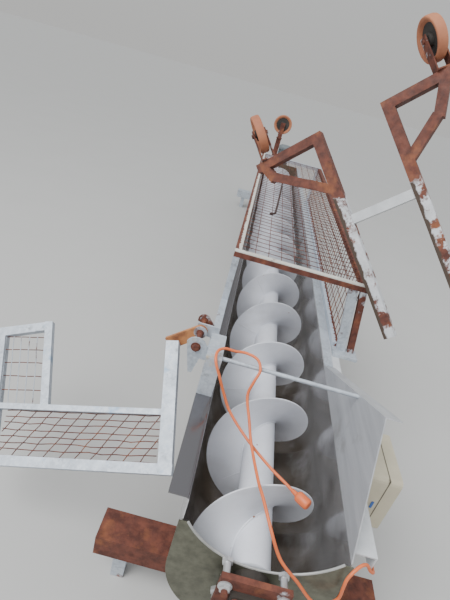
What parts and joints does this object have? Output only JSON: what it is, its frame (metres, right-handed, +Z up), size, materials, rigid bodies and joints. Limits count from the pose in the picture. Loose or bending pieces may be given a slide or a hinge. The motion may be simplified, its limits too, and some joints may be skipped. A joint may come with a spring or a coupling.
{
  "type": "grape auger",
  "caption": "Open screw conveyor in a sheet-steel trough on cross-beams, with a mesh guard, a hinged feed lid, a side wing, an enclosure and a castor frame.",
  "frame": {"origin": "centre of the near left leg's bottom face, on the ground", "axes": "+Z up, +Y along the trough away from the feed end, +X to the right seen from the feed end"},
  "size_m": [1.5682, 5.291, 1.7433],
  "materials": {
    "stainless": "dull brushed sheet with streaks",
    "white_paint": "chalky pale paint, rust spots",
    "galvanised": "weathered zinc with rust patches",
    "rusty_steel": "red-brown rust",
    "tread": "faded orange-brown castor tread",
    "beige": "satin beige",
    "orange_lead": "matt orange sheath",
    "dark_iron": "dark, greasy",
    "drive_grey": "grey machine paint"
  },
  "bodies": {
    "machine": {"castor_crossbar": "galvanised", "castor_left_leg": "rusty_steel", "castor_right_leg": "rusty_steel", "drive_motor": "drive_grey", "enclosure_base": "beige", "enclosure_lid": "beige", "far_castor_fork": "galvanised", "far_castor_post": "rusty_steel", "far_cross_beam": "galvanised", "far_end_plate": "stainless", "far_left_leg": "galvanised", "far_right_leg": "galvanised", "gearbox": "drive_grey", "guard_far_left_leg": "galvanised", "guard_far_rail": "galvanised", "guard_far_right_leg": "galvanised", "guard_foot_plate": "galvanised", "guard_left_mesh": "rusty_steel", "guard_left_rail": "galvanised", "guard_lower_rail": "galvanised", "guard_near_left_leg": "galvanised", "guard_near_rail": "rusty_steel", "guard_near_right_leg": "rusty_steel", "guard_near_right_stay": "galvanised", "guard_right_mesh": "rusty_steel", "guard_right_rail": "rusty_steel", "guard_top_mesh": "rusty_steel", "lead_gland": "dark_iron", "lead_plug": "orange_lead", "lead_run": "orange_lead", "left_castor_fork": "galvanised", "left_rail": "galvanised", "lid_hinge_lug": "rusty_steel", "lid_hinge_pin": "rusty_steel", "lid_hinge_tab": "galvanised", "lid_post": "galvanised", "near_bearing": "dark_iron", "near_bearing_plate": "rusty_steel", "near_cross_beam": "rusty_steel", "near_end_plate": "stainless", "near_left_leg": "galvanised", "near_right_leg": "galvanised", "near_seal_housing": "dark_iron", "right_castor_fork": "galvanised", "right_flange": "stainless", "right_rail": "galvanised", "right_wing": "stainless", "tie_rod": "galvanised", "trough_far_shell": "stainless", "trough_shell": "stainless"},
    "auger": {"auger_tube": "white_paint", "auger_flight": "white_paint", "auger_flight_far": "white_paint"},
    "lid": {"lid_frame": "galvanised", "lid_lower_mesh": "rusty_steel", "lid_upper_mesh": "rusty_steel", "lid_arm": "rusty_steel"},
    "left_wheel": {"left_castor_wheel": "tread"},
    "right_wheel": {"right_castor_wheel": "tread"},
    "far_wheel": {"far_castor_wheel": "tread"}
  },
  "joints": [
    {"name": "auger_spin", "type": "hinge", "parent": "machine", "child": "auger", "pos_m": [0.33, 1.5, 0.39], "axis": [0, 1, 0], "continuous": true},
    {"name": "lid_swing", "type": "hinge", "parent": "machine", "child": "lid", "pos_m": [0.046, 0.42, 0.66], "axis": [0, 1, 0], "range_deg": [0, 197]},
    {"name": "left_wheel_spin", "type": "hinge", "parent": "machine", "child": "left_wheel", "pos_m": [0.05258, 1.07907, 1.22565], "axis": [0.8167, 0.1694, 0.5516], "continuous": true},
    {"name": "right_wheel_spin", "type": "hinge", "parent": "machine", "child": "right_wheel", "pos_m": [0.51817, 0.92602, 1.67099], "axis": [0.8205, 0.2002, 0.5355], "continuous": true},
    {"name": "far_wheel_spin", "type": "hinge", "parent": "machine", "child": "far_wheel", "pos_m": [0.182, 3.217, 1.107], "axis": [0, 1, 0], "continuous": true}
  ]
}
